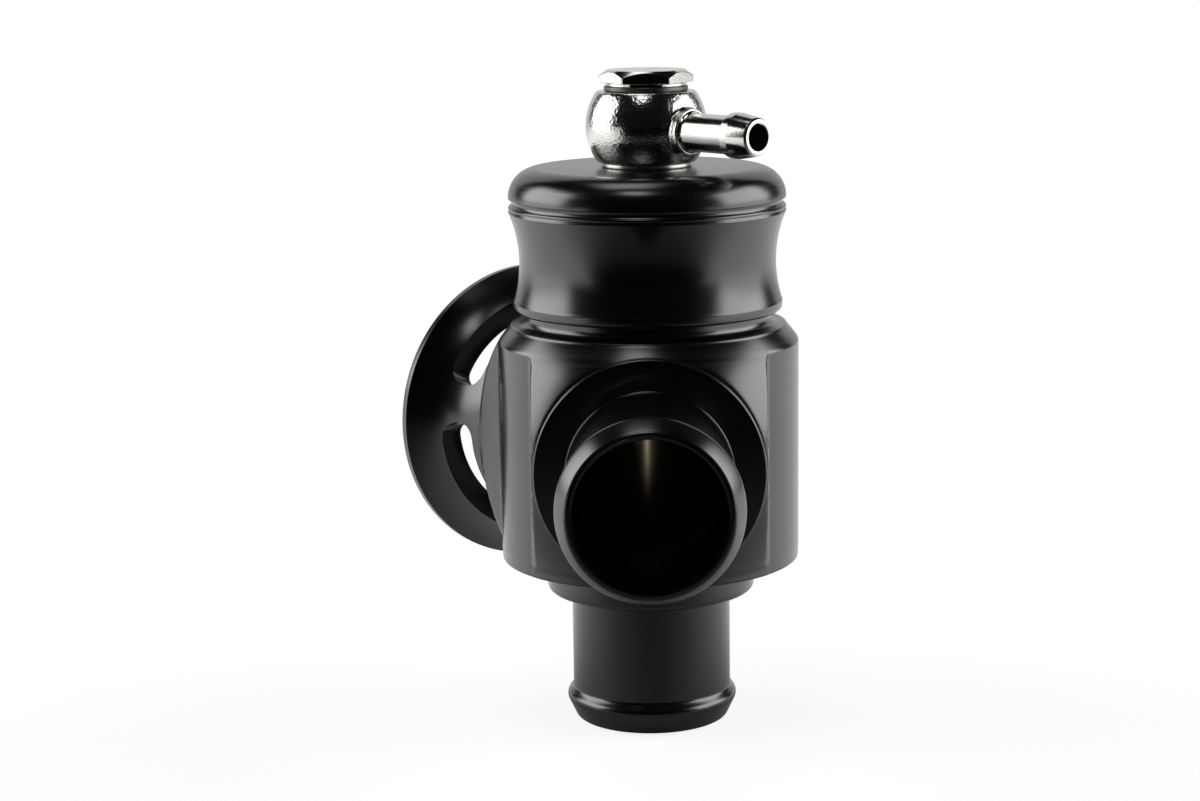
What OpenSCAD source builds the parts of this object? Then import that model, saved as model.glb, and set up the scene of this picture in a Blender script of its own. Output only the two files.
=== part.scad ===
// Blow off valve with a ball body, a hose inlet below, a hose outlet in front, a slotted trumpet behind
// and a banjo signal fitting on the cap. Millimetres, +Z up the valve axis, origin at the inlet's end face.

/* [Hose tails] */
// Thickness of a hose tail's wall
tail_wall = 1.7; // [1.4:0.1:2.2]
// Radius of the bore through tails and ports
port_r = 11; // [9.5:0.1:11.3]
// Height of the hose bead over the tube
bead_rise = 0.95; // [0.5:0.05:1.4]
// Radius of the bead's rounded section
bead_round = 4; // [3.6:0.1:4.4]
// Distance of the bead's crest from the tail's end
bead_back = 3.3; // [2.8:0.1:3.5]
// Length of the inlet tail below its flange
inlet_tail_l = 21.2; // [16:0.1:30]
// Length of the outlet tail in front of its flange
outlet_tail_l = 27.1; // [18:0.1:36]
// Chamfer at the mouth of a bore
mouth_bevel = 0.35; // [0.2:0.05:0.5]

/* [Flanges] */
// Width of the inlet flange round its shank
inlet_lip = 2.6; // [2.2:0.1:4]
// Thickness of the inlet flange
inlet_flange_h = 5.4; // [4:0.1:7]
// Width of the outlet flange and of the trumpet's foot round their shanks
side_lip = 3.7; // [2.6:0.1:3.8]
// Thickness of the outlet flange
outlet_flange_h = 2.2; // [1.8:0.1:3]
// Chamfer round a flange
flange_bevel = 0.4; // [0.2:0.05:0.6]
// Thickness of the screwed shank's wall behind each flange
shank_wall = 3; // [2:0.1:3.2]
// Wall left between a side shank's end and the piston's bore
port_wall = 1.6; // [1.2:0.1:3.6]

/* [Body] */
// Radius of the ball that the body is turned to
ball_r = 29.1; // [28.9:0.1:30.5]
// Height of the ball's centre over the body's base
ball_up = 18.3; // [17.6:0.1:20]
// Height of the flat ledge over the ball's centre
ledge_up = 19.4; // [18.6:0.1:19.8]
// Radius of the side panels
panel_r = 23.8; // [22.6:0.1:24.8]
// Margin of a port block beside its flange
block_edge = 0.3; // [0.1:0.1:0.9]
// Fillet where a panel runs into a port block
panel_fillet = 3; // [1.6:0.1:4]
// Distance of the two port faces from the valve axis
face_d = 23.1; // [22.9:0.05:23.4]
// Step by which the body's ports stand back from the bores of the tails
port_step = 0.3; // [0.2:0.05:0.6]
// Chamfer round the base
base_bevel = 0.5; // [0.2:0.1:1]
// Radius of the neck under the cap
neck_r = 19.4; // [19:0.1:19.8]
// Height of the neck
neck_h = 2.1; // [1.4:0.1:3]
// Radius of the hollow at the foot of the neck
neck_fillet = 1.2; // [0.6:0.1:1.3]
// Radius of the bore the piston runs in
cylinder_r = 15.5; // [15.2:0.05:15.8]

/* [Cap] */
// Height of the cap above the neck
cap_h = 22.6; // [22.4:0.1:26]
// Radius of the cap's band
band_r = 21.85; // [21.6:0.05:22.4]
// Radius of the cap's lower rim
rim_r = 21.25; // [20.9:0.05:21.5]
// Round of the lower rim's edge
rim_round = 0.8; // [0.4:0.1:1]
// Radius at the waist
waist_r = 20.25; // [19.8:0.05:20.5]
// Height of the waist over the cap's lower edge
waist_up = 7.8; // [7.4:0.1:8.4]
// Radius of the waist's hollow
waist_hollow = 20; // [18:0.5:24]
// Round of the cap's top edge
top_round = 4.6; // [3.4:0.1:4.7]
// Depth of the groove over the band
groove_h = 0.55; // [0.3:0.05:0.7]
// Depth of the cap's screwed skirt inside the neck
skirt_l = 6; // [4:0.1:6.2]
// Thickness of the cap's skirt
skirt_t = 1.95; // [1.6:0.05:2.1]
// Thickness of the cap's roof
roof_t = 5.5; // [4:0.1:6]
// Radius of the spring chamber in the cap
chamber_r = 13.2; // [12.6:0.1:14]

/* [Piston and spring] */
// Travel of the piston
travel = 11; // [6:0.5:11.5]
// Drop of the piston's seat below the ports
seat_drop = 2.7; // [2:0.1:3]
// Height of the piston's crown over the ports
cover_up = 3.85; // [3.45:0.05:4.25]
// Thickness of the piston's floor
floor_t = 4.5; // [3.6:0.1:6]
// Radius of the hollow in the piston
hollow_r = 12.5; // [12.3:0.1:13]
// Radius of the spring wire
wire_r = 0.95; // [0.7:0.05:1.1]
// Mean radius of the spring
coil_r = 10.2; // [9:0.1:10.4]
// Turns of the spring
turns = 8; // [6:1:10]

/* [Banjo] */
// Radius of the banjo ball
banjo_r = 9.5; // [8.9:0.1:10]
// Height of the banjo ball between its faces
banjo_h = 11; // [10:0.1:12]
// Direction of the signal tail, turned from straight ahead
banjo_turn = 43; // [0:1:90]
// Drop of the signal tail below the middle of the ball
signal_drop = 0.45; // [0:0.05:0.8]
// Distance of the signal tail's end from the valve axis
signal_l = 24.6; // [20:0.1:30]
// Radius of the signal tail
signal_r = 2.95; // [2.8:0.05:3.2]
// Radius of the signal tail's bore
signal_bore_r = 2; // [1.6:0.05:2.2]
// Length of the barb on the signal tail
barb_l = 5.4; // [4.6:0.1:8]
// Height of the barb over the tail
barb_rise = 0.55; // [0.3:0.05:0.8]
// Radius of the banjo bolt's shank
bolt_r = 4; // [3.8:0.05:4.3]
// Width of the bolt's hex across its flats
hex_w = 13; // [12.6:0.1:14]
// Height of the bolt's hex
hex_h = 2.45; // [2:0.05:5]
// Radius of the lower washer
washer_lower_r = 7.1; // [6.4:0.1:8]
// Radius of the upper washer
washer_upper_r = 6.6; // [5.8:0.05:7]
// Thickness of a washer
washer_t = 0.75; // [0.5:0.05:1.2]

/* [Trumpet] */
// Direction of the trumpet, turned from straight behind towards the left
trumpet_turn = 34.7; // [20:0.5:60]
// Distance of the rim from the valve axis
rim_d = 36.3; // [35.4:0.1:37.6]
// Radius of the trumpet's rim
bell_r = 24.9; // [24.4:0.1:25.6]
// Width of the straight land at the rim
land_w = 1.5; // [0.6:0.1:2]
// Width of the flat lip at the rim
lip_w = 0.7; // [0.5:0.05:1]
// Radius of the throat where the mouth's round begins
throat_r = 15.3; // [14.4:0.1:15.6]
// Distance of that throat from the trumpet's foot
throat_in = 2.3; // [1.9:0.1:2.7]
// Length of the cone that opens the bore into that throat
throat_cone = 3.4; // [2.8:0.1:4]
// Slots round the trumpet
slots = 4; // [3:1:4]
// Distance of a slot's rear wall from the trumpet's foot
slot_foot = 2.4; // [2.1:0.1:3.5]
// Distance of a slot's front wall behind the rim
slot_back = 5.3; // [4.6:0.1:5.6]
// Angle that a spoke fills between two slots
spoke_angle = 19; // [16:1:30]
// Turn of the first spoke above level
spoke_turn = 12.5; // [0:0.5:45]

/* [Seals and fits] */
// Radius of the section of a flange seal
seal_r = 0.5; // [0.4:0.02:0.55]
// Radius of the section of the piston's seals
ring_r = 0.75; // [0.6:0.05:0.8]
// Radial clearance of the piston in its bore and of the banjo on its bolt
running_gap = 0.05; // [0.02:0.01:0.1]
// Radial clearance of a screwed fit
screw_gap = 0.05; // [0.02:0.01:0.1]
// Clearance of a seal to the face beside it
seal_gap = 0.03; // [0.02:0.01:0.06]
// Height of the closed piston over its seat
seat_gap = 0.35; // [0.2:0.05:0.6]

/* [Hidden] */
$fn = 96;

black = [0.05, 0.05, 0.055];
nickel = [0.72, 0.71, 0.68];
bronze = [0.35, 0.24, 0.14];
rubber = [0.09, 0.09, 0.09];
steel = [0.55, 0.56, 0.58];

tail_r = port_r + tail_wall;
shank_r = port_r + shank_wall;
inlet_flange_r = shank_r + inlet_lip;
side_flange_r = shank_r + side_lip;
block_half_w = side_flange_r + block_edge;
shank_l = face_d - cylinder_r - port_wall;
groove_gap = 0.1;

base_z = inlet_tail_l + inlet_flange_h;
ball_z = base_z + ball_up;
ledge_z = ball_z + ledge_up;
cap_z = ledge_z + neck_h;
cap_top = cap_z + cap_h;
roof_z = cap_top - roof_t;
seat_z = ball_z - port_r - seat_drop;
skirt_r = cylinder_r + skirt_t;
skirt_z = cap_z - skirt_l;
waist_z = cap_z + waist_up;
band_low = waist_z + sqrt(pow(waist_hollow, 2) - pow(waist_hollow - (band_r - waist_r), 2));
groove_z = band_low + 1.1 + groove_h;

piston_z = seat_z + seat_gap;
piston_top = ball_z + port_r + cover_up;
piston_h = piston_top - piston_z;
piston_r = cylinder_r - running_gap;
ring_land = 1.6;
ring_groove_z = piston_top - ring_land - ring_r;
nose_ring_r = (port_r + shank_r) / 2;
spring_low = piston_z + floor_t;
step_z = piston_top + travel + 0.8;

flange_seal_r = (shank_r + screw_gap + side_flange_r) / 2;
inlet_seal_r = (shank_r + screw_gap + inlet_flange_r) / 2;
cap_seal_r = (skirt_r + screw_gap + neck_r) / 2;

fitting_z = cap_top + washer_t + running_gap;
fitting_top = fitting_z + banjo_h;
signal_z = fitting_z + banjo_h / 2;
head_z = fitting_top + running_gap + washer_t;

slot_front = rim_d - slot_back;
slot_w = slot_front - face_d - slot_foot;
throat_d = face_d + throat_in;
mouth_r = bell_r - lip_w;
mouth_round = (pow(rim_d - throat_d, 2) + pow(mouth_r - throat_r, 2)) / (2 * (mouth_r - throat_r));

module at_outlet() {
    translate([0, 0, ball_z]) rotate([90, 0, 0]) children();
}

module at_trumpet() {
    translate([0, 0, ball_z]) rotate([-90, 0, trumpet_turn]) children();
}

module at_signal() {
    translate([0, 0, signal_z - signal_drop]) rotate([90, 0, banjo_turn]) children();
}

// Hose tail with its flange and screwed shank, standing on its open end
module spigot(tail_l, flange_r, flange_h, shank_h, groove_r) {
    seat = tail_l + flange_h;
    difference() {
        union() {
            translate([0, 0, bead_back]) cylinder(r = tail_r, h = tail_l);
            rotate_extrude() intersection() {
                translate([tail_r + bead_rise - bead_round, bead_back]) circle(bead_round);
                square([2 * tail_r, 3 * bead_round]);
            }
            rotate_extrude() polygon([[0, tail_l], [flange_r - flange_bevel, tail_l], [flange_r, tail_l + flange_bevel],
                [flange_r, seat - flange_bevel], [flange_r - flange_bevel, seat], [0, seat]]);
            translate([0, 0, tail_l + 1]) cylinder(r = shank_r, h = flange_h - 1 + shank_h);
        }
        translate([0, 0, -1]) cylinder(r = port_r, h = seat + shank_h + 2);
        translate([0, 0, -1]) cylinder(r1 = port_r + mouth_bevel + 1, r2 = port_r - 1, h = mouth_bevel + 2);
        translate([0, 0, seat]) seal_groove(groove_r);
    }
}

// Ring cut for a flange seal, down from height zero
module seal_groove(radius) {
    depth = 2 * seal_r + groove_gap;
    wide = 2 * (seal_r + groove_gap);
    rotate_extrude() translate([radius - wide / 2, -depth]) square([wide, depth + 0.2]);
}

module ring(radius, section) {
    rotate_extrude() translate([radius, 0]) circle(section, $fn = 32);
}

// One port block with fillets into the side panels, pointing along +Y
module port_block(height) {
    reach_x = block_half_w + panel_fillet;
    reach_y = sqrt(pow(panel_r + panel_fillet, 2) - pow(reach_x, 2));
    touch = (panel_r - 0.1) / (panel_r + panel_fillet);
    translate([-block_half_w, 0, 0]) cube([2 * block_half_w, 3 * ball_r, height]);
    for (side = [-1, 1]) difference() {
        linear_extrude(height) polygon([[side * (block_half_w - 1), reach_y], [side * reach_x, reach_y],
            [side * reach_x * touch, reach_y * touch], [side * (block_half_w - 1), reach_y * touch - 1]]);
        translate([side * reach_x, reach_y, -1]) cylinder(r = panel_fillet, h = height + 2);
    }
}

// All that is milled away beside the two port blocks
module panel_cut() {
    high = cap_z - base_z;
    difference() {
        translate([0, 0, base_z - 1]) cylinder(r = 2 * ball_r, h = high);
        translate([0, 0, base_z - 2]) cylinder(r = panel_r, h = high + 2);
        translate([0, 0, base_z - 2]) rotate([0, 0, 180]) port_block(high + 2);
        translate([0, 0, base_z - 2]) rotate([0, 0, trumpet_turn]) port_block(high + 2);
    }
}

module body_blank() {
    difference() {
        union() {
            translate([0, 0, ball_z]) sphere(ball_r);
            translate([0, 0, base_z]) cylinder(r1 = panel_r - base_bevel, r2 = panel_r, h = base_bevel);
            translate([0, 0, base_z + base_bevel]) cylinder(r = panel_r, h = ball_up - base_bevel);
        }
        translate([0, 0, ledge_z]) cylinder(r = 2 * ball_r, h = ball_r);
        translate([0, 0, base_z - ball_r]) cylinder(r = 2 * ball_r, h = ball_r);
        panel_cut();
    }
    rotate_extrude() difference() {
        translate([0, ball_z]) square([neck_r + neck_fillet, cap_z - ball_z]);
        translate([neck_r, ledge_z + neck_fillet]) square([2 * neck_fillet, 2 * neck_h]);
        translate([neck_r + neck_fillet, ledge_z + neck_fillet]) circle(neck_fillet);
    }
}

module port_cut() {
    translate([0, 0, face_d]) cylinder(r = ball_r, h = ball_r);
    translate([0, 0, face_d - shank_l - screw_gap]) cylinder(r = shank_r + screw_gap, h = shank_l + 1);
    cylinder(r = port_r + port_step, h = face_d);
}

module body() {
    color(black) difference() {
        body_blank();
        at_outlet() port_cut();
        at_trumpet() port_cut();
        translate([0, 0, seat_z]) cylinder(r = cylinder_r, h = cap_z - seat_z + 1);
        translate([0, 0, base_z - 1]) cylinder(r = shank_r + screw_gap, h = seat_z - base_z + 2);
        translate([0, 0, skirt_z - screw_gap]) cylinder(r = skirt_r + screw_gap, h = skirt_l + 1);
    }
}

module cap() {
    color(black) rotate_extrude() difference() {
        union() {
            translate([0, waist_z]) square([band_r, cap_top - waist_z]);
            translate([0, cap_z]) square([rim_r, waist_up + 1]);
            translate([0, skirt_z]) square([skirt_r, skirt_l + 1]);
        }
        translate([waist_r + waist_hollow, waist_z]) circle(waist_hollow);
        polygon([[band_r - groove_h, groove_z], [band_r + 1, groove_z + groove_h + 1],
            [band_r + 1, groove_z - groove_h - 1]]);
        translate([band_r - top_round, cap_top - top_round]) difference() {
            square(top_round + 1);
            circle(top_round);
        }
        translate([rim_r - rim_round, cap_z + rim_round]) difference() {
            translate([0, -rim_round - 1]) square(rim_round + 1);
            circle(rim_round);
        }
        translate([cap_seal_r - seal_r - groove_gap, cap_z - 1])
            square([2 * (seal_r + groove_gap), 2 * seal_r + groove_gap + 1]);
        translate([0, skirt_z - 1]) square([cylinder_r, step_z - skirt_z + 1]);
        translate([0, skirt_z]) square([chamber_r, roof_z - skirt_z]);
        translate([0, roof_z - 1]) square([bolt_r + screw_gap, roof_t + 2]);
    }
}

module cap_seal() {
    color(rubber) translate([0, 0, cap_z + seal_r + seal_gap]) ring(cap_seal_r, seal_r);
}

module piston() {
    color(bronze) rotate_extrude() difference() {
        translate([0, piston_z]) square([piston_r, piston_h]);
        translate([0, spring_low]) square([hollow_r, piston_h]);
        translate([piston_r - 2 * ring_r - groove_gap, ring_groove_z - ring_r - groove_gap])
            square([4 * ring_r, 2 * (ring_r + groove_gap)]);
        translate([nose_ring_r - ring_r - groove_gap, piston_z - 1])
            square([2 * (ring_r + groove_gap), 2 * ring_r + 1]);
    }
}

module piston_seal() {
    color(rubber) translate([0, 0, ring_groove_z]) ring(cylinder_r - seal_gap - ring_r, ring_r);
}

module seat_seal() {
    color(rubber) translate([0, 0, seat_z + seal_gap + ring_r]) ring(nose_ring_r, ring_r);
}

// Round wire swept along a coil whose end turns lie closed
module spring() {
    per_turn = 16;
    sides = 8;
    steps = turns * per_turn;
    low = spring_low + wire_r + seal_gap;
    high = roof_z - wire_r - seal_gap;
    close = 2.1 * wire_r;
    pitch = (high - low - 2 * close) / (turns - 2);
    function rise(t) = t < 1 ? close * t : (t > turns - 1 ? close + pitch * (turns - 2) + close * (t - turns + 1)
        : close + pitch * (t - 1));
    points = [for (i = [0:steps]) for (k = [0:sides - 1])
        let (turn = 360 * i / per_turn, side = 360 * k / sides, r = coil_r + wire_r * cos(side))
        [r * cos(turn), r * sin(turn), low + rise(i / per_turn) + wire_r * sin(side)]];
    skin = [for (i = [0:steps - 1]) for (k = [0:sides - 1])
        let (a = i * sides + k, b = i * sides + (k + 1) % sides)
        [a, a + sides, b + sides, b]];
    first = [[for (k = [0:sides - 1]) k]];
    last = [[for (k = [sides - 1:-1:0]) steps * sides + k]];
    color(steel) polyhedron(points, concat(skin, first, last));
}

module banjo_bolt() {
    corner = hex_w / (2 * cos(30));
    color(nickel) difference() {
        union() {
            intersection() {
                translate([0, 0, head_z]) cylinder(r = corner, h = hex_h, $fn = 6);
                translate([0, 0, head_z - corner + hex_h]) cylinder(r1 = 2.6 * hex_w / 2, r2 = 0.985 * hex_w / 2, h = corner);
            }
            translate([0, 0, roof_z + 0.4]) cylinder(r = bolt_r, h = head_z - roof_z);
        }
        translate([0, 0, roof_z]) cylinder(r = 0.4 * bolt_r, h = signal_z - roof_z + 2);
        translate([0, 0, signal_z]) rotate([0, 90, 0]) cylinder(r = 0.3 * bolt_r, h = 4 * bolt_r, center = true);
    }
}

module banjo_fitting() {
    root = sqrt(pow(banjo_r, 2) - pow(signal_r, 2));
    color(nickel) difference() {
        union() {
            intersection() {
                translate([0, 0, signal_z]) sphere(banjo_r);
                translate([0, 0, fitting_z]) cylinder(r = 2 * banjo_r, h = banjo_h);
            }
            at_signal() rotate_extrude() polygon([[0, bolt_r + 2], [signal_r + 0.8, bolt_r + 2],
                [signal_r + 0.8, root + 0.3], [signal_r, root + 1.2], [signal_r, signal_l - barb_l],
                [signal_r + barb_rise, signal_l - barb_l + 0.3], [signal_r + barb_rise, signal_l - 0.7 * barb_l],
                [signal_r, signal_l - 0.25], [signal_r - 0.25, signal_l], [0, signal_l]]);
        }
        translate([0, 0, fitting_z - 1]) cylinder(r = bolt_r + running_gap, h = banjo_h + 2);
        translate([0, 0, signal_z - signal_bore_r]) cylinder(r = bolt_r + 1.3, h = 2 * signal_bore_r);
        at_signal() cylinder(r = signal_bore_r, h = signal_l + 1);
    }
}

module washer(radius) {
    difference() {
        cylinder(r = radius, h = washer_t);
        translate([0, 0, -1]) cylinder(r = bolt_r + 0.15, h = washer_t + 2);
    }
}

module banjo_washer_upper() {
    color(steel) translate([0, 0, fitting_top + running_gap]) washer(washer_upper_r);
}

module banjo_washer_lower() {
    color(steel) translate([0, 0, cap_top]) washer(washer_lower_r);
}

module inlet_spigot() {
    color(black) spigot(inlet_tail_l, inlet_flange_r, inlet_flange_h, seat_z - base_z, inlet_seal_r);
}

module inlet_seal() {
    color(rubber) translate([0, 0, base_z - seal_r - seal_gap]) ring(inlet_seal_r, seal_r);
}

module outlet_spigot() {
    tip = face_d + outlet_flange_h + outlet_tail_l;
    color(black) at_outlet() translate([0, 0, tip]) rotate([180, 0, 0])
        spigot(outlet_tail_l, side_flange_r, outlet_flange_h, shank_l, flange_seal_r);
}

module outlet_seal() {
    color(rubber) at_outlet() translate([0, 0, face_d + seal_r + seal_gap]) ring(flange_seal_r, seal_r);
}

// Kidney cut through the bell's wall from outside, with round ends a touch wider than its sides
module slot_cut() {
    half = slot_w / 2;
    side_step = 0.02;
    end_turn = asin(half / (side_flange_r + 1));
    first = spoke_angle / 2 + end_turn;
    span = 360 / slots - 2 * first;
    inner = port_r - 2;
    translate([0, 0, slot_front - slot_w + side_step]) rotate([0, 0, first]) rotate_extrude(angle = span)
        translate([inner, 0]) square([bell_r, slot_w - 2 * side_step]);
    for (turn = [first, first + span])
        rotate([0, 0, turn]) translate([inner, 0, slot_front - half]) rotate([0, 90, 0]) cylinder(r = half, h = bell_r);
}

module trumpet() {
    rise = bell_r - side_flange_r;
    run = rim_d - land_w - face_d;
    flare = (pow(run, 2) + pow(rise, 2)) / (2 * rise);
    color(black) at_trumpet() difference() {
        rotate_extrude() difference() {
            union() {
                translate([0, face_d - shank_l]) square([shank_r, shank_l + 1]);
                translate([0, face_d]) square([bell_r, rim_d - face_d]);
            }
            intersection() {
                translate([side_flange_r + flare, face_d]) circle(flare);
                translate([0, face_d - 1]) square([3 * bell_r, run + 1]);
            }
            polygon([[0, face_d - shank_l - 1], [port_r, face_d - shank_l - 1], [port_r, throat_d - throat_cone],
                [throat_r, throat_d], [0, throat_d]]);
            difference() {
                translate([0, throat_d]) square([mouth_r, rim_d - throat_d + 1]);
                translate([throat_r + mouth_round, throat_d]) circle(mouth_round);
            }
            translate([flange_seal_r - seal_r - groove_gap, face_d - 1])
                square([2 * (seal_r + groove_gap), 2 * seal_r + groove_gap + 1]);
        }
        for (i = [0:slots - 1]) rotate([0, 0, 180 + spoke_turn + 360 / slots * i]) slot_cut();
    }
}

module trumpet_seal() {
    color(rubber) at_trumpet() translate([0, 0, face_d + seal_r + seal_gap]) ring(flange_seal_r, seal_r);
}

body();
cap();
cap_seal();
piston();
piston_seal();
seat_seal();
spring();
banjo_bolt();
banjo_fitting();
banjo_washer_upper();
banjo_washer_lower();
inlet_spigot();
inlet_seal();
outlet_spigot();
outlet_seal();
trumpet();
trumpet_seal();
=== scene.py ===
import math

import bmesh
import bpy
import numpy as np
from mathutils import Matrix, Vector


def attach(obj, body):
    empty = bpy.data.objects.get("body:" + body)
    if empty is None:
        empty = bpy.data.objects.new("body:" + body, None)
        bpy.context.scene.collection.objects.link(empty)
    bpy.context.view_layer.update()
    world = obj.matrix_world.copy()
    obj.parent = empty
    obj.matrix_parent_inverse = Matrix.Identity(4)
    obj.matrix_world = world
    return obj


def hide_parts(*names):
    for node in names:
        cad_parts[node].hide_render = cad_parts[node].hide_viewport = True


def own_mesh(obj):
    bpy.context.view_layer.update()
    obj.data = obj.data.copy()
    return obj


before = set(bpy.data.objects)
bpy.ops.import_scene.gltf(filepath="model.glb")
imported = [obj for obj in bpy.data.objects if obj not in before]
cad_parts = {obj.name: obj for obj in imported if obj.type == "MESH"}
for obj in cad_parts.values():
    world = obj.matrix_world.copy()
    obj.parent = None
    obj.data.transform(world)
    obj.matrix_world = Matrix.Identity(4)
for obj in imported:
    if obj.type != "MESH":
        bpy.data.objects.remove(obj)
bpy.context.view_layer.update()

# Sizes in millimetres, as in the part's source
MM = 0.001
BALL_Z, BALL_R, PANEL_R, BLOCK_W, FACE_D = 44.9, 29.1, 23.8, 18.0, 23.1
BASE_Z, LEDGE_Z, CAP_Z, CAP_TOP, ROOF_Z, SEAT_Z = 26.6, 64.3, 66.4, 89.0, 83.5, 31.2
NECK_R, SLEEVE_R, SLEEVE_Z, BORE_R, BOLT_R, FIT = 19.4, 17.5, 60.4, 15.5, 4.0, 0.05
PORT_R, PORT_STEP, TAIL_R, SHANK_R, SHANK_L = 11.0, 0.3, 12.7, 14.0, 6.0
GROOVE_HALF, GROOVE_H, CAP_GROOVE_R, INLET_GROOVE_R, SIDE_GROOVE_R = 0.6, 1.1, 18.5, 15.325, 15.875
TRUMPET_TURN, BANJO_TURN = math.radians(34.7), math.radians(43.0)
RIM_D, THROAT_D, THROAT_R = 36.3, 25.4, 15.3
SLOTS, SLOT_HALF, SLOT_D, SLOT_R, SPOKE_TURN, SPOKE_HALF = 4, 2.75, 28.25, 18.7, 12.5, 9.5
PISTON_R, PISTON_LOW, PISTON_FLOOR, PISTON_TOP = 15.45, 31.55, 36.05, 59.75
FITTING_Z, FITTING_TOP, SIGNAL_Z, SIGNAL_DROP, HEAD_Z = 89.8, 100.8, 95.3, 0.45, 101.6
OUTLET = Matrix.Translation((0, 0, BALL_Z)) @ Matrix.Rotation(math.radians(90), 4, "X")
TRUMPET = (Matrix.Translation((0, 0, BALL_Z)) @ Matrix.Rotation(TRUMPET_TURN, 4, "Z")
           @ Matrix.Rotation(math.radians(-90), 4, "X"))
SIGNAL = (Matrix.Translation((0, 0, SIGNAL_Z - SIGNAL_DROP)) @ Matrix.Rotation(BANJO_TURN, 4, "Z")
          @ Matrix.Rotation(math.radians(90), 4, "X"))

# Edges that turn by more degrees than this are shaded sharp
SHARP = 28.0


# Profile and mesh helpers
def arc(cx, cz, radius, start, end, steps=10):
    """Points on an arc, angles in degrees from +r towards +z."""
    turns = [math.radians(start + (end - start) * i / steps) for i in range(steps + 1)]
    return [(cx + radius * math.cos(t), cz + radius * math.sin(t)) for t in turns]


def rounded(points, radii, steps=4):
    """A closed profile with its corners rounded, one radius for each corner."""
    out = []
    count = len(points)
    nearly_straight = 1.5
    for i, radius in enumerate(radii):
        corner = Vector(points[i])
        to_prev = (Vector(points[i - 1]) - corner).normalized()
        to_next = (Vector(points[(i + 1) % count]) - corner).normalized()
        half = to_prev.angle(to_next) / 2 if radius > 0 else nearly_straight
        if half >= nearly_straight:
            out.append(tuple(corner))
            continue
        reach = radius / math.tan(half)
        centre = corner + (to_prev + to_next).normalized() * (radius / math.sin(half))
        a = corner + to_prev * reach - centre
        b = corner + to_next * reach - centre
        for k in range(steps + 1):
            spot = (a.lerp(b, k / steps)).normalized() * radius + centre
            out.append(tuple(spot))
    return out


def seal_groove(radius, face, depth):
    """The corners of a seal's groove in a flat face, from its outer wall to its inner wall."""
    outer, inner = radius + GROOVE_HALF, radius - GROOVE_HALF
    return [(outer, face), (outer, face + depth), (inner, face + depth), (inner, face)]


def shade(obj, sharp=SHARP):
    obj.data.shade_smooth()
    obj.data.set_sharp_from_angle(angle=math.radians(sharp))


def mesh_object(name, verts, faces, place=Matrix.Identity(4), sharp=SHARP):
    """A smooth-shaded mesh object from points in millimetres, with edges over the angle kept sharp."""
    mesh = bpy.data.meshes.new(name)
    mesh.from_pydata([tuple(MM * (place @ Vector(v))) for v in verts], [], faces)
    outward = bmesh.new()
    outward.from_mesh(mesh)
    bmesh.ops.recalc_face_normals(outward, faces=outward.faces)
    outward.to_mesh(mesh)
    outward.free()
    obj = bpy.data.objects.new(name, mesh)
    bpy.context.scene.collection.objects.link(obj)
    shade(obj, sharp)
    return obj


def ring_faces(rows, count):
    """Quads between closed rows of points, the last row joined to the first."""
    faces = []
    for i in range(rows):
        for k in range(count):
            a, b = i * count, ((i + 1) % rows) * count
            faces.append((a + k, a + (k + 1) % count, b + (k + 1) % count, b + k))
    return faces


def prism_faces(count):
    """Side quads and both end faces between two outlines of that many points."""
    faces = [(k, (k + 1) % count, count + (k + 1) % count, count + k) for k in range(count)]
    return faces + [tuple(range(count)), tuple(range(2 * count - 1, count - 1, -1))]


def circle(radius, z, count):
    turns = [2 * math.pi * k / count for k in range(count)]
    return [(radius * math.cos(t), radius * math.sin(t), z) for t in turns]


def lathe(name, profile, place=Matrix.Identity(4), count=160):
    """A closed profile of (r, z) turned about the local z axis."""
    verts = [point for r, z in profile for point in circle(r, z, count)]
    return mesh_object(name, verts, ring_faces(len(profile), count), place)


def core(name, radius, low, high, count):
    """A pin that fills the small hole left along the axis of a turned piece."""
    axis_r = 0.0005
    return lathe(name, [(axis_r, low), (radius, low), (radius, high), (axis_r, high)], count=count)


def rod(radius, low, high, place, count=128):
    """A plain closed cylinder, used as a tool."""
    verts = circle(radius, low, count) + circle(radius, high, count)
    return mesh_object("tool", verts, prism_faces(count), place)


def round_rows(count, points):
    """Rows of one radius all round, from (r, z) points."""
    return [(np.full(count, r), z) for r, z in points]


def bake(obj):
    """Replaces the object's mesh by its mesh with all modifiers applied."""
    view = bpy.context.evaluated_depsgraph_get()
    mesh = bpy.data.meshes.new_from_object(obj.evaluated_get(view))
    obj.modifiers.clear()
    obj.data = mesh
    shade(obj)


def add_boolean(obj, operation, tool):
    step = obj.modifiers.new(operation.lower(), "BOOLEAN")
    step.operation = operation
    step.solver = "EXACT"
    step.object = tool


def cut(obj, *tools):
    """Subtracts the tool objects and removes them."""
    for tool in tools:
        add_boolean(obj, "DIFFERENCE", tool)
    bake(obj)
    for tool in tools:
        bpy.data.objects.remove(tool)


def soft_min(a, b, width):
    """The smaller of two arrays, blended where they differ by less than the width."""
    h = np.clip(0.5 + 0.5 * (b - a) / width, 0, 1)
    return b + (a - b) * h - width * h * (1 - h)


def soft_max(a, b, width):
    return -soft_min(-a, -b, width)


# Material helpers
def texture_base(name):
    """A new node material with its shader and the pieces' own coordinates."""
    material = bpy.data.materials.new(name)
    material.use_nodes = True
    nodes, links = material.node_tree.nodes, material.node_tree.links
    vector = nodes.new("ShaderNodeTexCoord").outputs["Object"]
    return material, nodes, links, nodes["Principled BSDF"], vector


def operate(nodes, links, kind, operation, *values):
    """A math or vector math node fed with outputs, numbers or vectors."""
    node = nodes.new(kind)
    node.operation = operation
    for socket, value in zip(node.inputs, values):
        if isinstance(value, bpy.types.NodeSocket):
            links.new(value, socket)
        else:
            socket.default_value = value
    return node


def number(nodes, links, operation, *values):
    return operate(nodes, links, "ShaderNodeMath", operation, *values).outputs["Value"]


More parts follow.
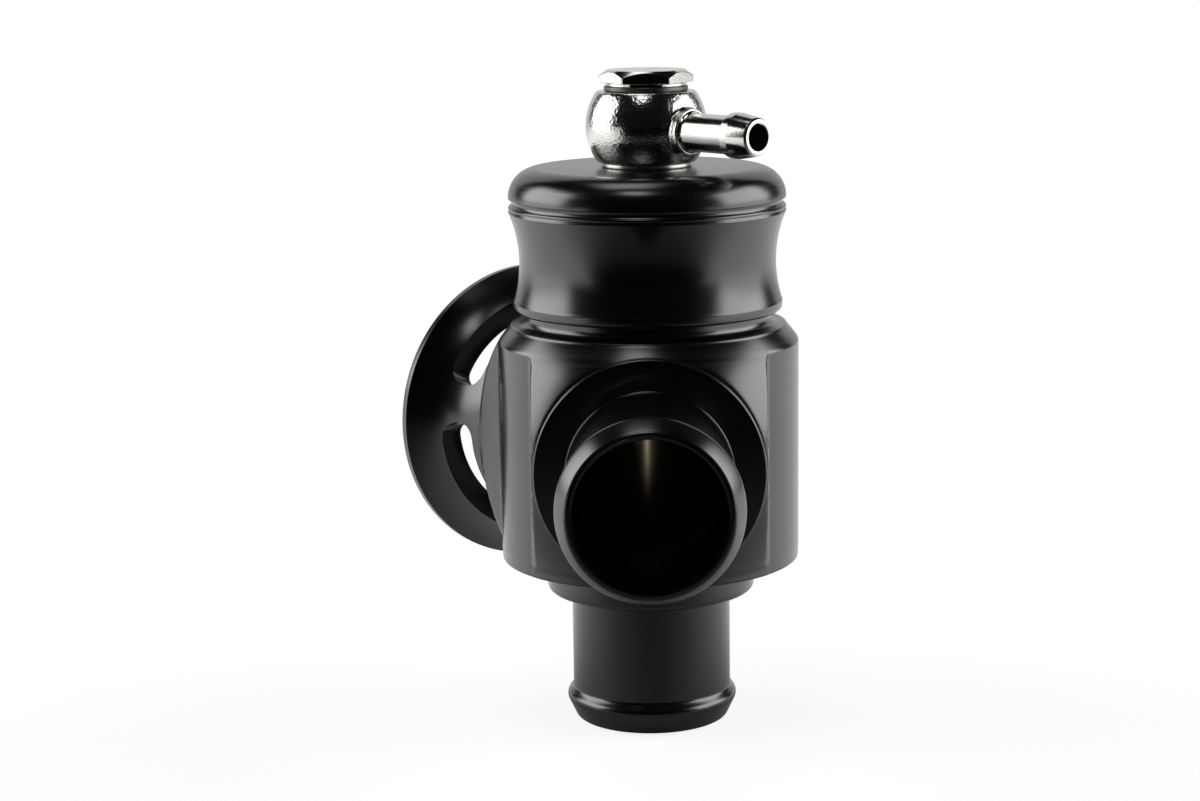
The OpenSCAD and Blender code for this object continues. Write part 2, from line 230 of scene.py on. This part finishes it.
def measure(nodes, links, operation, *values):
    """A number worked out from vectors."""
    return operate(nodes, links, "ShaderNodeVectorMath", operation, *values).outputs["Value"]


def vectors(nodes, links, operation, *values):
    return operate(nodes, links, "ShaderNodeVectorMath", operation, *values).outputs["Vector"]


def position(nodes):
    return nodes.new("ShaderNodeNewGeometry").outputs["Position"]


def noise(nodes, links, vector, scale, detail=3.0):
    node = nodes.new("ShaderNodeTexNoise")
    node.inputs["Scale"].default_value = scale
    node.inputs["Detail"].default_value = detail
    links.new(vector, node.inputs["Vector"])
    return node.outputs["Fac"]


def ramp(nodes, links, value, low, high):
    """The value spread between two colours."""
    node = nodes.new("ShaderNodeValToRGB")
    for element, place, colour in zip(node.color_ramp.elements, (0.3, 0.7), (low, high)):
        element.position = place
        element.color = (*colour, 1)
    links.new(value, node.inputs["Fac"])
    return node.outputs["Color"]


def spread(nodes, links, value, low, high):
    """The value mapped from 0..1 to low..high."""
    node = nodes.new("ShaderNodeMapRange")
    node.inputs["To Min"].default_value = low
    node.inputs["To Max"].default_value = high
    links.new(value, node.inputs["Value"])
    return node.outputs["Result"]


def smooth_step(nodes, links, value, start, end, low, high):
    """The value taken smoothly from low at start to high at end."""
    node = nodes.new("ShaderNodeMapRange")
    node.interpolation_type = "SMOOTHSTEP"
    for socket, limit in (("From Min", start), ("From Max", end), ("To Min", low), ("To Max", high)):
        node.inputs[socket].default_value = limit
    links.new(value, node.inputs["Value"])
    return node.outputs["Result"]


def turning_lines(nodes, links, vector, place, scale):
    """Fine lathe lines round the local z axis of place."""
    axis = (place.to_3x3() @ Vector((0, 0, 1))).normalized()
    shift = vectors(nodes, links, "SUBTRACT", vector, place.translation * MM)
    along = measure(nodes, links, "DOT_PRODUCT", shift, axis)
    off_axis = measure(nodes, links, "LENGTH", vectors(nodes, links, "CROSS_PRODUCT", shift, axis))
    lines = nodes.new("ShaderNodeTexNoise")
    lines.noise_dimensions = "1D"
    lines.inputs["Scale"].default_value = scale
    lines.inputs["Detail"].default_value = 2.0
    links.new(number(nodes, links, "ADD", along, off_axis), lines.inputs["W"])
    return lines.outputs["Fac"]


def add_bump(nodes, links, shader, height, strength, distance):
    node = nodes.new("ShaderNodeBump")
    node.inputs["Strength"].default_value = strength
    node.inputs["Distance"].default_value = distance
    links.new(height, node.inputs["Height"])
    links.new(node.outputs["Normal"], shader.inputs["Normal"])


# Materials
def anodised(name, place):
    """Gloss black anodised aluminium with faint lathe lines."""
    material, nodes, links, shader, vector = texture_base(name)
    dark, light = (0.0012, 0.0012, 0.0013), (0.0024, 0.0024, 0.0026)
    links.new(ramp(nodes, links, noise(nodes, links, vector, 90), dark, light), shader.inputs["Base Color"])
    lines = turning_lines(nodes, links, vector, place, 5200)
    links.new(spread(nodes, links, lines, 0.17, 0.27), shader.inputs["Roughness"])
    shader.inputs["IOR"].default_value = 1.9
    add_bump(nodes, links, shader, lines, 0.05, 0.00004)
    return material


def nickel(name, bumps):
    """Bright nickel plate over a casting or a machined face."""
    material, nodes, links, shader, vector = texture_base(name)
    dark, light = (0.68, 0.665, 0.635), (0.78, 0.765, 0.735)
    links.new(ramp(nodes, links, noise(nodes, links, vector, 160), dark, light), shader.inputs["Base Color"])
    shader.inputs["Metallic"].default_value = 1.0
    links.new(spread(nodes, links, noise(nodes, links, vector, 900), 0.07, 0.2), shader.inputs["Roughness"])
    add_bump(nodes, links, shader, noise(nodes, links, vector, 2300, 2.0), bumps, 0.0003)
    return material


def bronze(name):
    """Hard anodised piston, bronze brown, with a sheen drawn out along its length."""
    material, nodes, links, shader, vector = texture_base(name)
    dark, light = (0.32, 0.27, 0.17), (0.37, 0.32, 0.21)
    lines = turning_lines(nodes, links, vector, Matrix.Identity(4), 4200)
    links.new(ramp(nodes, links, lines, dark, light), shader.inputs["Base Color"])
    shader.inputs["Metallic"].default_value = 0.95
    links.new(spread(nodes, links, lines, 0.22, 0.24), shader.inputs["Roughness"])
    shader.inputs["Anisotropic"].default_value = 0.75
    shader.inputs["Anisotropic Rotation"].default_value = 0.25
    around = nodes.new("ShaderNodeTangent")
    around.direction_type = "RADIAL"
    around.axis = "Z"
    links.new(around.outputs["Tangent"], shader.inputs["Tangent"])
    return material


def plain_metal(name, dark, light, rough):
    """Bare metal with a fine grain."""
    material, nodes, links, shader, vector = texture_base(name)
    cloud = noise(nodes, links, vector, 700)
    links.new(ramp(nodes, links, cloud, dark, light), shader.inputs["Base Color"])
    shader.inputs["Metallic"].default_value = 1.0
    links.new(spread(nodes, links, cloud, *rough), shader.inputs["Roughness"])
    add_bump(nodes, links, shader, noise(nodes, links, vector, 2600), 0.12, 0.00008)
    return material


def black_rubber(name):
    material, nodes, links, shader, vector = texture_base(name)
    dark, light = (0.012, 0.012, 0.012), (0.022, 0.022, 0.022)
    cloud = noise(nodes, links, vector, 1500)
    links.new(ramp(nodes, links, cloud, dark, light), shader.inputs["Base Color"])
    links.new(spread(nodes, links, cloud, 0.55, 0.75), shader.inputs["Roughness"])
    add_bump(nodes, links, shader, cloud, 0.2, 0.00005)
    return material


BLACK = anodised("black_valve_axis", Matrix.Identity(4))
BLACK_OUTLET = anodised("black_outlet", OUTLET)
BLACK_TRUMPET = anodised("black_trumpet", TRUMPET)
PLATE = nickel("nickel_machined", 0.04)
CAST = nickel("nickel_cast", 0.22)
BRONZE = bronze("bronze_piston")
WASHER = plain_metal("washer_metal", (0.58, 0.57, 0.55), (0.7, 0.69, 0.67), (0.22, 0.36))
# Painted shade: a darker copy of the washer metal for the upper washer, which sits in shade between the bolt
# head and the ball
WASHER_PAINTED_SHADE = plain_metal("washer_painted_shade", (0.1, 0.098, 0.092), (0.17, 0.166, 0.158), (0.3, 0.45))
STEEL = plain_metal("spring_metal", (0.4, 0.4, 0.41), (0.55, 0.55, 0.57), (0.18, 0.32))
RUBBER = black_rubber("seal_rubber")


def finish_piece(obj, material, body, slot_name, *nodes):
    """Gives a piece its material and the body it rides on, and hides the CAD nodes it stands for. The slot
    name is not used.
    """
    obj.data.materials.clear()
    obj.data.materials.append(material)
    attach(obj, body)
    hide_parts(*nodes)


# Body: a ball with flat port faces and side panels, as one skin around the valve axis
def skin_radius(turn, z):
    """Distance of the body's skin from the axis, turn measured from straight ahead towards +X."""
    face_edge, panel_edge, ball_edge, ahead, least = 0.15, 0.9, 0.22, 0.05, 1e-3
    ball = math.sqrt(max(BALL_R ** 2 - (z - BALL_Z) ** 2, 1.0))
    if z < BALL_Z:
        ball = max(ball, PANEL_R)
    plan = np.full_like(turn, PANEL_R)
    for heading in (0.0, -math.pi + TRUMPET_TURN):
        off = (turn - heading + math.pi) % (2 * math.pi) - math.pi
        side = BLOCK_W / np.maximum(np.abs(np.sin(off)), least)
        front = FACE_D / np.maximum(np.cos(off), least)
        block = np.where(np.cos(off) > ahead, soft_min(side, front, face_edge), 0.0)
        plan = soft_max(plan, block, panel_edge)
    return soft_min(plan, np.full_like(plan, ball), ball_edge)


def make_body():
    count, foot, brow, fillet, rim = 576, 0.3, 0.25, 1.2, 0.15
    coarse, coarse_end, fine, fine_start, tool_end = 0.5, 60.2, 0.2, 60.4, FACE_D + 6
    turn = np.linspace(0, 2 * math.pi, count, endpoint=False)
    rows = round_rows(count, [(SHANK_R + FIT, SEAT_Z), (SHANK_R + FIT, BASE_Z)])
    base = skin_radius(turn, BASE_Z + foot)
    rows += [(base + r, z) for r, z in arc(-foot, BASE_Z + foot, foot, -90, 0, 5)]
    levels = [*np.arange(BASE_Z + 0.7, coarse_end, coarse), *np.arange(fine_start, LEDGE_Z - 0.3, fine)]
    rows += [(skin_radius(turn, z), z) for z in levels]
    top = skin_radius(turn, LEDGE_Z - brow)
    rows += [(top + r, z) for r, z in arc(-brow, LEDGE_Z - brow, brow, 20, 90, 4)]
    rows += round_rows(count, arc(NECK_R + fillet, LEDGE_Z + fillet, fillet, 270, 180, 8))
    inside = [(NECK_R, 66.0), (NECK_R, CAP_Z), (SLEEVE_R, CAP_Z), (SLEEVE_R, SLEEVE_Z), (BORE_R, SLEEVE_Z),
              (BORE_R, SEAT_Z)]
    rows += round_rows(count, rounded(inside, [0, rim, 0, 0, 0, 0]))
    verts = []
    for radius, z in rows:
        verts += [(radius[k] * math.sin(turn[k]), -radius[k] * math.cos(turn[k]), z) for k in range(count)]
    body = mesh_object("body_skin", verts, ring_faces(len(rows), count))
    tools = []
    for place in (OUTLET, TRUMPET):
        tools.append(rod(SHANK_R + FIT, FACE_D - SHANK_L - FIT, tool_end, place))
        tools.append(rod(PORT_R + PORT_STEP, 8, tool_end, place))
    cut(body, *tools)
    finish_piece(body, BLACK, "body", "black_anodised", "body")


# Cap: rounded top, groove, band, hollowed waist and lower rim
def make_cap():
    dome, groove, band, hollow, rim_r, lip, foot = 4.6, 0.75, 0.34, 20.0, 21.25, 0.5, 0.8
    waist_r, waist_z, waist_half, waist_end, steps = 20.25, 74.2, 7.9, 68.4, 28
    bore_top, chamber_r = 71.9, 13.2
    outer = [(BOLT_R + FIT, CAP_TOP)]
    outer += arc(17.25, CAP_TOP - dome, dome, 90, -2, 18)
    outer += arc(22.05, 83.65, groove, 130, 226, 8)
    outer += arc(21.5, 82.8, band, 40, -40, 6)
    levels = [waist_z + waist_half * (1 - 2 * i / steps) for i in range(steps + 1)]
    for z in levels:
        if z > waist_end:
            outer.append((waist_r + hollow - math.sqrt(hollow ** 2 - (z - waist_z) ** 2), z))
    outer += arc(rim_r - lip, 67.9, lip, 35, 0, 4)
    outer += arc(rim_r - foot, CAP_Z + foot, foot, 0, -90, 8)
    inner = seal_groove(CAP_GROOVE_R, CAP_Z, GROOVE_H)
    inner += [(SLEEVE_R - FIT, CAP_Z), (SLEEVE_R - FIT, SLEEVE_Z), (BORE_R, SLEEVE_Z), (BORE_R, bore_top)]
    inner += [(chamber_r, bore_top), (chamber_r, ROOF_Z), (BOLT_R + FIT, ROOF_Z)]
    cap = lathe("cap_shell", outer + inner, count=224)
    finish_piece(cap, BLACK, "body", "black_anodised", "cap")


# Hose tails with flange and shank
def spigot_profile(tail_l, flange_r, flange_h, shank_h, groove_r, root, edge):
    """Bead with a tapered nose, tube, root fillet, flange with a rounded edge, seal groove and shank."""
    nose, bead, neck, taper, chamfer, lip = 0.9, 1.3, 0.9, 28, 0.4, 0.35
    seat = tail_l + flange_h
    profile = arc(TAIL_R - 1.15, nose, nose, -90, -taper, 6)
    profile += arc(TAIL_R - 0.35, 3.5, bead, -taper, 50, 12)
    profile += arc(TAIL_R + neck, 5.4, neck, 222, 180, 4)
    profile += arc(TAIL_R + root, tail_l - root, root, 180, 90, 6)
    profile += arc(flange_r - edge, tail_l + edge, edge, -90, 0, 6)
    profile += [(flange_r, seat - chamfer), (flange_r - chamfer, seat)]
    profile += seal_groove(groove_r, seat, -GROOVE_H)
    profile += [(SHANK_R, seat), (SHANK_R, seat + shank_h), (PORT_R, seat + shank_h)]
    profile += [(PORT_R, lip), (PORT_R + 0.12, 0.1), (PORT_R + lip, 0.0)]
    return profile


def make_spigots():
    profile = spigot_profile(21.2, 16.6, 5.4, SEAT_Z - BASE_Z, INLET_GROOVE_R, root=1.0, edge=0.9)
    inlet = lathe("inlet_tail", profile, count=192)
    finish_piece(inlet, BLACK, "body", "black_anodised", "inlet_spigot")
    tail_l, flange_h = 27.1, 2.2
    reach = FACE_D + tail_l + flange_h
    place = OUTLET @ Matrix.Translation((0, 0, reach)) @ Matrix.Rotation(math.pi, 4, "X")
    profile = spigot_profile(tail_l, 17.7, flange_h, SHANK_L, SIDE_GROOVE_R, root=0.35, edge=0.4)
    outlet = lathe("outlet_tail", profile, place, count=224)
    finish_piece(outlet, BLACK_OUTLET, "body", "black_anodised", "outlet_spigot")


# Trumpet: bell with kidney slots cut from outside
def slot_tool(first, last):
    """A kidney outline between two turns about the trumpet's axis, run outwards through the wall."""
    bend, steps, inside, outside = 16, 28, 9.0, 30.0
    reach = SLOT_HALF / SLOT_R
    run = last - first - 2 * reach
    outline = []
    for k in range(bend + 1):
        t = math.pi * (0.5 + k / bend)
        outline.append((first + reach + reach * math.cos(t), SLOT_D + SLOT_HALF * math.sin(t)))
    outline += [(first + reach + run * k / steps, SLOT_D - SLOT_HALF) for k in range(1, steps)]
    for k in range(bend + 1):
        t = math.pi * (-0.5 + k / bend)
        outline.append((last - reach + reach * math.cos(t), SLOT_D + SLOT_HALF * math.sin(t)))
    outline += [(last - reach - run * k / steps, SLOT_D + SLOT_HALF) for k in range(1, steps)]
    verts = [(r * math.cos(t), r * math.sin(t), z) for r in (inside, outside) for t, z in outline]
    return mesh_object("tool", verts, prism_faces(len(outline)), TRUMPET)


def make_trumpet():
    foot_r, rim_r, mouth_r, rim_w, lip, throat_end = 17.7, 24.9, 24.2, 1.5, 0.4, 22.0
    run, rise = RIM_D - rim_w - FACE_D, rim_r - foot_r
    flare = (run ** 2 + rise ** 2) / (2 * rise)
    profile = arc(foot_r + flare, FACE_D, flare, 180, 180 - math.degrees(math.asin(run / flare)), 30)
    profile += arc(rim_r - lip, RIM_D - lip, lip, 0, 90, 6)
    deep, wide = RIM_D - THROAT_D, mouth_r - THROAT_R
    mouth = (deep ** 2 + wide ** 2) / (2 * wide)
    profile += arc(THROAT_R + mouth, THROAT_D, mouth, 180 - math.degrees(math.asin(deep / mouth)), 180, 24)
    shank_end = FACE_D - SHANK_L
    profile += [(PORT_R, throat_end), (PORT_R, shank_end), (SHANK_R, shank_end), (SHANK_R, FACE_D)]
    profile += seal_groove(SIDE_GROOVE_R, FACE_D, GROOVE_H)[::-1]
    bell = lathe("trumpet_bell", profile, TRUMPET, count=224)
    pitch = 360 / SLOTS
    tools = []
    for i in range(SLOTS):
        start = math.radians(180 + SPOKE_TURN + pitch * i + SPOKE_HALF)
        tools.append(slot_tool(start, start + math.radians(pitch - 2 * SPOKE_HALF)))
    cut(bell, *tools)
    finish_piece(bell, BLACK_TRUMPET, "body", "black_anodised", "trumpet")


# Piston, its rings and the flange seals
def make_piston():
    hub_r, cup_r, seat_in, seat_out, seat_top = 0.4, 12.5, 11.65, 13.35, 33.1
    ring_r, ring_low, ring_top = 13.85, 56.55, 58.25
    points = [(hub_r, PISTON_LOW), (seat_in, PISTON_LOW), (seat_in, seat_top), (seat_out, seat_top),
              (seat_out, PISTON_LOW), (PISTON_R, PISTON_LOW), (PISTON_R, ring_low), (ring_r, ring_low),
              (ring_r, ring_top), (PISTON_R, ring_top), (PISTON_R, PISTON_TOP), (cup_r, PISTON_TOP),
              (cup_r, PISTON_FLOOR), (hub_r, PISTON_FLOOR)]
    radii = [0, 0.1, 0, 0, 0.1, 0.5, 0.1, 0, 0, 0.1, 0.3, 0.3, 0.6, 0]
    piston = lathe("piston_cup", rounded(points, radii), count=192)
    finish_piece(piston, BRONZE, "piston", "bronze_anodised", "piston")
    inset = 0.05
    centre = core("piston_centre", 0.5, PISTON_LOW + inset, PISTON_FLOOR - inset, 48)
    finish_piece(centre, BRONZE, "piston", "bronze_anodised", "piston")


def make_seals():
    """Each seal's node, ring radius, height, section radius, place and body."""
    seals = [("cap_seal", 18.45, 66.93, 0.5, Matrix.Identity(4), "body"),
             ("piston_seal", 14.72, 57.4, 0.75, Matrix.Identity(4), "piston"),
             ("seat_seal", 12.5, 31.98, 0.75, Matrix.Identity(4), "piston"),
             ("inlet_seal", INLET_GROOVE_R, 26.07, 0.5, Matrix.Identity(4), "body"),
             ("outlet_seal", SIDE_GROOVE_R, 23.63, 0.5, OUTLET, "body"),
             ("trumpet_seal", SIDE_GROOVE_R, 23.63, 0.5, TRUMPET, "body")]
    for node, radius, z, section, place, body in seals:
        ring = lathe(node + "_ring", arc(radius, z, section, 0, 345, 23), place, count=128)
        finish_piece(ring, RUBBER, body, "rubber", node)


# Spring: closed end turns
def make_spring():
    wire, coil, turns, per_turn, sides, seat = 0.95, 10.2, 8, 40, 14, 0.98
    low, high, close = PISTON_FLOOR + seat, ROOF_Z - seat, 2.1 * wire
    pitch = (high - low - 2 * close) / (turns - 2)
    steps = turns * per_turn
    verts = []
    for i in range(steps + 1):
        t = i / per_turn
        rise = close * min(t, 1) + pitch * min(max(t - 1, 0), turns - 2) + close * max(t - turns + 1, 0)
        turn = 2 * math.pi * t
        for k in range(sides):
            side = 2 * math.pi * k / sides
            r = coil + wire * math.cos(side)
            verts.append((r * math.cos(turn), r * math.sin(turn), low + rise + wire * math.sin(side)))
    faces = []
    for i in range(steps):
        for k in range(sides):
            a, b = i * sides + k, i * sides + (k + 1) % sides
            faces.append((a, b, b + sides, a + sides))
    faces += [tuple(range(sides)), tuple(range((steps + 1) * sides - 1, steps * sides - 1, -1))]
    spring = mesh_object("spring_coil", verts, faces, sharp=50)
    finish_piece(spring, STEEL, "body", "spring_steel", "spring")
    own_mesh(spring)


# Banjo: bolt, washers and ball fitting with its barbed tail
def make_bolt():
    count, flat_r, corner_r, head_h, face_r, face_h = 288, 6.5, 7.42, 2.45, 6.25, 0.45
    disc_r, chamfer, blend, edge, dish = 6.2, 1.3, 0.05, 0.12, 0.02
    hole_r, hole_low, passage_r, passage_top = 0.4, 98.0, 1.6, 97.3
    turn = np.linspace(0, 2 * math.pi, count, endpoint=False)
    flat = np.minimum(flat_r / np.cos(turn % (math.pi / 3) - math.pi / 6), corner_r)
    foot = ROOF_Z + 0.4
    top = HEAD_Z + head_h
    under = HEAD_Z + face_h
    rows = round_rows(count, [(BOLT_R, foot), (BOLT_R, HEAD_Z), (face_r - 0.1, HEAD_Z)])
    rows += round_rows(count, [(face_r, HEAD_Z + 0.1), (face_r, under)])
    rows += [(flat - edge, under), (flat, under + edge)]
    for z in np.arange(under + 0.25, top - 0.03, 0.05):
        cone = np.full(count, disc_r + chamfer * (top - z))
        rows.append((soft_min(flat, cone, blend), z))
    rows += round_rows(count, [(disc_r, top), (6.0, top), (5.0, top)])
    rows += round_rows(count, [(3.0, top - dish), (hole_r, top - dish)])
    rows += round_rows(count, [(hole_r, hole_low), (passage_r, passage_top), (passage_r, foot)])
    verts = []
    for radius, z in rows:
        verts += [(radius[k] * math.cos(turn[k]), radius[k] * math.sin(turn[k]), z) for k in range(count)]
    bolt = mesh_object("bolt_head", verts, ring_faces(len(rows), count), sharp=25)
    finish_piece(bolt, PLATE, "body", "nickel", "banjo_bolt")
    centre = core("bolt_centre", 0.45, hole_low, top, 32)
    finish_piece(centre, PLATE, "body", "nickel", "banjo_bolt")


def make_washers():
    inner_r, thick, edge = 4.15, 0.75, 0.22
    washers = [("banjo_washer_lower", CAP_TOP, 7.1, WASHER),
               # The upper washer takes the darker copy of the washer metal, as painted shade
               ("banjo_washer_upper", FITTING_TOP + FIT, 6.6, WASHER_PAINTED_SHADE)]
    for node, low, radius, material in washers:
        points = [(inner_r, low), (radius, low), (radius, low + thick), (inner_r, low + thick)]
        washer = lathe(node + "_ring", rounded(points, [0, edge, edge, 0]), count=128)
        finish_piece(washer, material, "body", "washer", node)


def make_ball():
    """The fitting's ball, melted into the root of its tail."""
    ball_r, half_h, hole_r = 9.5, 5.5, BOLT_R + FIT
    reach = math.degrees(math.asin(half_h / ball_r))
    profile = [(hole_r, FITTING_Z)] + arc(0, SIGNAL_Z, ball_r, -reach, reach, 40) + [(hole_r, FITTING_TOP)]
    ball = lathe("fitting_ball", profile)
    root = rod(3.6, 6.0, 10.4, SIGNAL, 64)
    add_boolean(ball, "UNION", root)
    melt = ball.modifiers.new("melt", "REMESH")
    melt.mode = "VOXEL"
    melt.voxel_size = 0.2 * MM
    soften = ball.modifiers.new("soften", "SMOOTH")
    soften.factor = 0.5
    soften.iterations = 5
    bake(ball)
    bpy.data.objects.remove(root)
    shade(ball, 60)
    finish_piece(ball, CAST, "banjo", "nickel", "banjo_fitting")


def make_tail():
    tip, barb, bore_r, tube_r, barb_r, root_r, start = 24.6, 5.4, 2.0, 2.95, 3.5, 3.4, 6.2
    profile = [(bore_r, start), (root_r, start), (root_r, 9.4)]
    profile += arc(4.1, 11.2, 1.15, 230, 180, 6)
    profile += [(tube_r, tip - barb)]
    nose = [(tube_r, tip - barb), (barb_r, tip - barb + 0.35), (barb_r, tip - 0.68 * barb),
            (2.92, tip - 0.3), (2.65, tip), (2.15, tip), (bore_r, tip - 0.15)]
    profile += rounded(nose, [0, 0.2, 0.6, 0.15, 0.12, 0.06, 0])
    tail = lathe("fitting_tail", profile, SIGNAL, count=96)
    finish_piece(tail, PLATE, "banjo", "nickel", "banjo_fitting")


make_body()
make_cap()
make_spigots()
make_trumpet()
make_piston()
make_seals()
make_spring()
make_bolt()
make_washers()
make_ball()
make_tail()


# Stage: pale floor and backdrop that show white to the camera and in reflections, with painted shade towards
# the front, and keep a soft shadow
def stage_sheet(name, half_width, rows, material):
    """A smooth sheet along x whose section is a row of (y, z) points."""
    verts = [(x, y, z) for y, z in rows for x in (-half_width, half_width)]
    faces = [(2 * i, 2 * i + 1, 2 * i + 3, 2 * i + 2) for i in range(len(rows) - 1)]
    mesh = bpy.data.meshes.new(name)
    mesh.from_pydata(verts, [], faces)
    mesh.shade_smooth()
    mesh.materials.append(material)
    sheet = bpy.data.objects.new(name, mesh)
    bpy.context.scene.collection.objects.link(sheet)


def backward(nodes, links, side_share):
    """Distance behind the valve, to which a share of the distance beside it is added."""
    place = nodes.new("ShaderNodeSeparateXYZ")
    links.new(position(nodes), place.inputs[0])
    side = number(nodes, links, "ABSOLUTE", place.outputs["X"])
    return number(nodes, links, "MULTIPLY_ADD", side, side_share, place.outputs["Y"])


def stage_paper():
    """Pale paper with painted shade towards the front, that glows white to the camera and to mirrors."""
    material = bpy.data.materials.new("stage_paper")
    material.use_nodes = True
    nodes, links = material.node_tree.nodes, material.node_tree.links
    shader = nodes["Principled BSDF"]
    path = nodes.new("ShaderNodeLightPath").outputs
    beside = backward(nodes, links, 0.9)
    straight = backward(nodes, links, 0.0)
    # Painted shade: the colour that lamps and reflections see falls from pale beside and behind the valve to
    # dark in front, and darker still far in front; the camera sees 0.8 white
    paper_and_painted_front_shade = smooth_step(nodes, links, beside, -0.08, 0.1, 0.16, 0.85)
    painted_far_front_shade = smooth_step(nodes, links, straight, -0.3, -0.15, 0.06, 1.0)
    paper_with_painted_shade = number(nodes, links, "MULTIPLY", paper_and_painted_front_shade, painted_far_front_shade)
    seen = smooth_step(nodes, links, path["Is Camera Ray"], 0.0, 1.0, 0.0, 0.8)
    links.new(number(nodes, links, "MAXIMUM", paper_with_painted_shade, seen), shader.inputs["Base Color"])
    shader.inputs["Roughness"].default_value = 0.9
    shader.inputs["Specular IOR Level"].default_value = 0.0
    behind = smooth_step(nodes, links, beside, -0.02, 0.14, 0.0, 1.0)
    far_back = smooth_step(nodes, links, straight, 0.4, 0.9, 1.0, 0.6)
    reflected = number(nodes, links, "MULTIPLY", behind, far_back)
    mirrored = number(nodes, links, "MULTIPLY", path["Is Glossy Ray"], reflected)
    direct = number(nodes, links, "MAXIMUM", path["Is Camera Ray"], path["Is Transmission Ray"])
    share = number(nodes, links, "MULTIPLY", number(nodes, links, "MAXIMUM", direct, mirrored), 0.6)
    distance = measure(nodes, links, "LENGTH", position(nodes))
    glow = nodes.new("ShaderNodeEmission")
    glow.inputs["Color"].default_value = (1, 1, 1, 1)
    links.new(smooth_step(nodes, links, distance, 0.2, 0.9, 1.42, 1.68), glow.inputs["Strength"])
    mix = nodes.new("ShaderNodeMixShader")
    links.new(share, mix.inputs["Fac"])
    links.new(shader.outputs["BSDF"], mix.inputs[1])
    links.new(glow.outputs["Emission"], mix.inputs[2])
    links.new(mix.outputs["Shader"], nodes["Material Output"].inputs["Surface"])
    return material


def make_stage():
    floor_half, drop, back_half, start, bend, height = 2.2, 0.0002, 1.09, 0.9, 0.5, 1.6
    paper = stage_paper()
    stage_sheet("floor", floor_half, [(-floor_half, -drop), (floor_half, -drop)], paper)
    turns = [math.radians(a) for a in range(0, 91, 10)]
    sweep = [(start + bend * math.sin(t), bend - bend * math.cos(t)) for t in turns]
    stage_sheet("backdrop", back_half, sweep + [(start + bend, height)], paper)


def make_world():
    world = bpy.data.worlds.new("studio")
    bpy.context.scene.world = world
    world.use_nodes = True
    world.node_tree.nodes["Background"].inputs["Color"].default_value = (0.005, 0.005, 0.0052, 1)


# Lamps, in metres
SOFTBOXES = [
    ("softbox_left", (-0.55, 0.083, 0.3), (0, 0.083, 0.3), (0.635, 0.64), 3.2, (0.2, 0.3)),
    ("softbox_right", (0.55, 0.01, 0.3), (0, 0.01, 0.3), (0.69, 0.64), 3.2, (0.2, 0.3)),
    ("softbox_top", (-0.11, 0.06, 0.8), (0, 0.05, 0.06), (0.46, 0.44), 1.6, (0.3, 0.35)),
    ("softbox_front", (-0.1, -0.38, 0.76), (0, 0, 0.06), (0.3, 0.24), 2.8, (0.3, 0.3)),
]


def add_lamp(name, data, place, target):
    lamp = bpy.data.objects.new(name, data)
    bpy.context.scene.collection.objects.link(lamp)
    aim = (Vector(target) - Vector(place)).to_track_quat("-Z", "Y")
    lamp.matrix_world = Matrix.Translation(place) @ aim.to_matrix().to_4x4()


def edge_fade(nodes, links, value, reach):
    """1 in the middle of the lamp, falling to 0 at both edges over that share of its size."""
    middle = 0.5
    away = number(nodes, links, "ABSOLUTE", number(nodes, links, "SUBTRACT", value, middle))
    return smooth_step(nodes, links, away, middle - reach, middle, 1.0, 0.0)


def softbox(name, place, target, size, radiance, fades):
    """A flat soft light, facing the target, that fades out towards its edges."""
    data = bpy.data.lights.new(name, "AREA")
    data.shape = "RECTANGLE"
    data.size, data.size_y = size
    data.energy = radiance * math.pi * size[0] * size[1]
    data.use_nodes = True
    nodes, links = data.node_tree.nodes, data.node_tree.links
    spot = nodes.new("ShaderNodeSeparateXYZ")
    links.new(nodes.new("ShaderNodeNewGeometry").outputs["Parametric"], spot.inputs[0])
    across = edge_fade(nodes, links, spot.outputs["X"], fades[0])
    upward = edge_fade(nodes, links, spot.outputs["Y"], fades[1])
    links.new(number(nodes, links, "MULTIPLY", across, upward), nodes["Emission"].inputs["Strength"])
    add_lamp(name, data, place, target)


def bore_light(place, target):
    """A narrow light that reaches through the outlet's bore to the piston."""
    data = bpy.data.lights.new("bore_light", "SPOT")
    data.energy = 0.12
    data.spot_size = math.radians(2.0)
    data.spot_blend = 0.6
    data.shadow_soft_size = 0.004
    add_lamp("bore_light", data, place, target)


# Camera, fitted to the photo, with its pixels for focal length and shift
def make_camera():
    photo_w, focal_px, shift_px, sensor_w = 1200, 2553, -49.1, 36.0
    place, pitch, roll = (0, -0.4, 0.1276), 10.76, -0.585
    data = bpy.data.cameras.new("camera")
    data.sensor_fit = "HORIZONTAL"
    data.sensor_width = sensor_w
    data.lens = focal_px / photo_w * sensor_w
    data.shift_x = shift_px / photo_w
    data.clip_start = 0.01
    camera = bpy.data.objects.new("camera", data)
    bpy.context.scene.collection.objects.link(camera)
    camera.matrix_world = (Matrix.Translation(place) @ Matrix.Rotation(math.radians(90 - pitch), 4, "X")
                           @ Matrix.Rotation(math.radians(roll), 4, "Z"))
    bpy.context.scene.camera = camera


make_stage()
make_world()
for settings in SOFTBOXES:
    softbox(*settings)
bore_light((-0.025, -0.5, 0.03), (0, -0.0155, 0.0495))
make_camera()
bpy.context.scene.view_settings.view_transform = "Standard"
